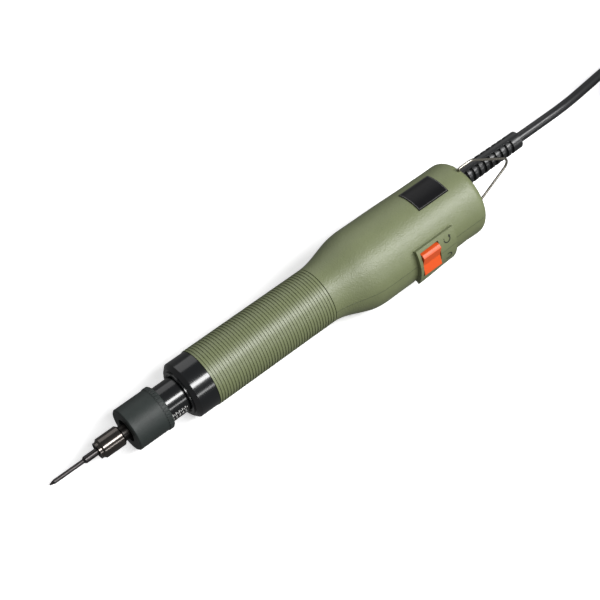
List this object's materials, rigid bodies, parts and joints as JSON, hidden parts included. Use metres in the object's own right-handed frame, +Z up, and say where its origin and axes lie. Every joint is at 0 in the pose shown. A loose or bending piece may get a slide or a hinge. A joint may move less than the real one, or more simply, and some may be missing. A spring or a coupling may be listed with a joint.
{
  "type": "electric screwdriver",
  "caption": "Inline push-to-start electric screwdriver with ribbed grip, torque nut, bit sleeve, rocker switch, hanging bail and coiled mains cord.",
  "frame": {"origin": "on the tool's axis at the middle of the nose collar", "axes": "tool at rest on a bench: +X towards the cord, about 4.3 degrees below the tool's own axis; +Z up; switch on the -Y side"},
  "size_m": [0.6327, 0.0752, 0.0535],
  "materials": {
    "green_plastic": "fine moulded texture, satin",
    "black_gloss": "glossy",
    "dark_matte": "matte",
    "dark_steel": "polished dark steel",
    "steel": "bright steel",
    "gear_steel": "cut gear steel",
    "bronze": "plain bronze, copper and brass",
    "magnet": "ferrite and carbon",
    "board": "circuit board",
    "component": "moulded black",
    "lead": "lead covering",
    "orange": "satin orange-red",
    "black_plate": "bare black plate",
    "rubber": "flexible, satin black"
  },
  "bodies": {
    "housing": {"upper_shell": "green_plastic", "lower_shell": "green_plastic", "grip_sleeve": "green_plastic", "nose_collar": "black_gloss", "clutch_barrel": "black_gloss", "thrust_washer": "steel", "shaft_front_bush": "bronze", "shaft_rear_bush": "bronze", "start_sensor": "dark_matte", "ring_gear": "gear_steel", "motor_can": "steel", "motor_magnets": "magnet", "motor_bush": "bronze", "motor_end_cap": "dark_matte", "motor_brushes": "magnet", "motor_leads": "lead", "control_board": "board", "transformer": "component", "capacitor": "component", "speed_regulator": "component", "mains_leads": "lead", "switch_body": "dark_matte", "rocker_pin": "steel", "nameplate": "black_plate", "housing_screws": "steel", "strain_relief": "rubber", "cord_tail": "rubber", "cord_clamp": "component", "clamp_screws": "steel", "cord_lead": "rubber", "cord_coil": "rubber", "cord_tie": "dark_matte", "plug_body": "rubber", "plug_pins": "bronze", "clutch_spring": "steel", "start_spring": "steel"},
    "seat": {"spring_seat": "steel"},
    "nut": {"torque_nut": "dark_matte"},
    "push": {"spindle_bush": "bronze"},
    "spindle": {"spindle": "steel", "driver_bit": "dark_steel", "retaining_balls": "steel", "sleeve_circlip": "steel", "sleeve_spring": "steel"},
    "sleeve": {"bit_sleeve": "dark_steel"},
    "rotor": {"rotor_shaft": "steel", "rotor_core": "steel", "rotor_winding": "bronze", "commutator": "bronze", "sun_pinion": "steel"},
    "drive": {"planet_carrier": "steel", "drive_shaft": "steel", "clutch_driver_disc": "steel", "clutch_balls": "steel", "clutch_driven_disc": "steel"},
    "planet_1": {"planet_gear_1": "gear_steel"},
    "planet_2": {"planet_gear_2": "gear_steel"},
    "planet_3": {"planet_gear_3": "gear_steel"},
    "rocker": {"rocker": "orange"},
    "bail": {"hanger_bail": "steel"}
  },
  "joints": [
    {"name": "rotor_spin", "type": "hinge", "parent": "housing", "child": "rotor", "pos_m": [0.05983, 0, 0.00452], "axis": [0.9972, 0, 0.0753], "continuous": true},
    {"name": "drive_spin", "type": "hinge", "parent": "housing", "child": "drive", "pos_m": [0.01994, 0, 0.00151], "axis": [0.9972, 0, 0.0753], "continuous": true},
    {"name": "planet_1_spin", "type": "hinge", "parent": "drive", "child": "planet_1", "pos_m": [0.04751, 0.00675, 0.00359], "axis": [0.9972, 0, 0.0753], "continuous": true},
    {"name": "planet_2_spin", "type": "hinge", "parent": "drive", "child": "planet_2", "pos_m": [0.04707, -0.00337, 0.00942], "axis": [0.9972, 0, 0.0753], "continuous": true},
    {"name": "planet_3_spin", "type": "hinge", "parent": "drive", "child": "planet_3", "pos_m": [0.04795, -0.00337, -0.00224], "axis": [0.9972, 0, 0.0753], "continuous": true},
    {"name": "torque_slide", "type": "slide", "parent": "housing", "child": "seat", "axis": [0.9972, 0, 0.0753], "range_m": [0, 0.00901], "deforming": ["clutch_spring"]},
    {"name": "torque_turn", "type": "hinge", "parent": "seat", "child": "nut", "pos_m": [-0.02991, 0, -0.00226], "axis": [0.9972, 0, 0.0753], "range_deg": [0, 1620]},
    {"name": "push_start", "type": "slide", "parent": "housing", "child": "push", "axis": [0.9972, 0, 0.0753], "range_m": [0, 0.0015], "stiffness_N_per_m": 3000, "springref_m": -0.002, "deforming": ["start_spring"]},
    {"name": "spindle_spin", "type": "hinge", "parent": "push", "child": "spindle", "pos_m": [-0.02991, 0, -0.00226], "axis": [0.9972, 0, 0.0753], "continuous": true},
    {"name": "sleeve_pull", "type": "slide", "parent": "spindle", "child": "sleeve", "axis": [-0.9972, 0, -0.0753], "range_m": [0, 0.002], "stiffness_N_per_m": 1500, "springref_m": -0.001, "deforming": ["sleeve_spring"]},
    {"name": "rocker_tilt", "type": "hinge", "parent": "housing", "child": "rocker", "pos_m": [0.14339, -0.0195, 0.01082], "axis": [0.9972, 0, 0.0753], "range_deg": [-10, 10]},
    {"name": "bail_swing", "type": "hinge", "parent": "housing", "child": "bail", "pos_m": [0.19514, 0, 0.01473], "axis": [-0.0753, 0, 0.9972], "range_deg": [-50, 2]}
  ],
  "couplings": [
    {"joint": "drive_spin", "follows": "rotor_spin", "ratio": 0.2},
    {"joint": "spindle_spin", "follows": "rotor_spin", "ratio": 0.2},
    {"joint": "torque_slide", "follows": "torque_turn", "m_per_rad": 0.00031831},
    {"joint": "planet_1_spin", "follows": "rotor_spin", "ratio": -0.53333},
    {"joint": "planet_2_spin", "follows": "rotor_spin", "ratio": -0.53333},
    {"joint": "planet_3_spin", "follows": "rotor_spin", "ratio": -0.53333}
  ]
}
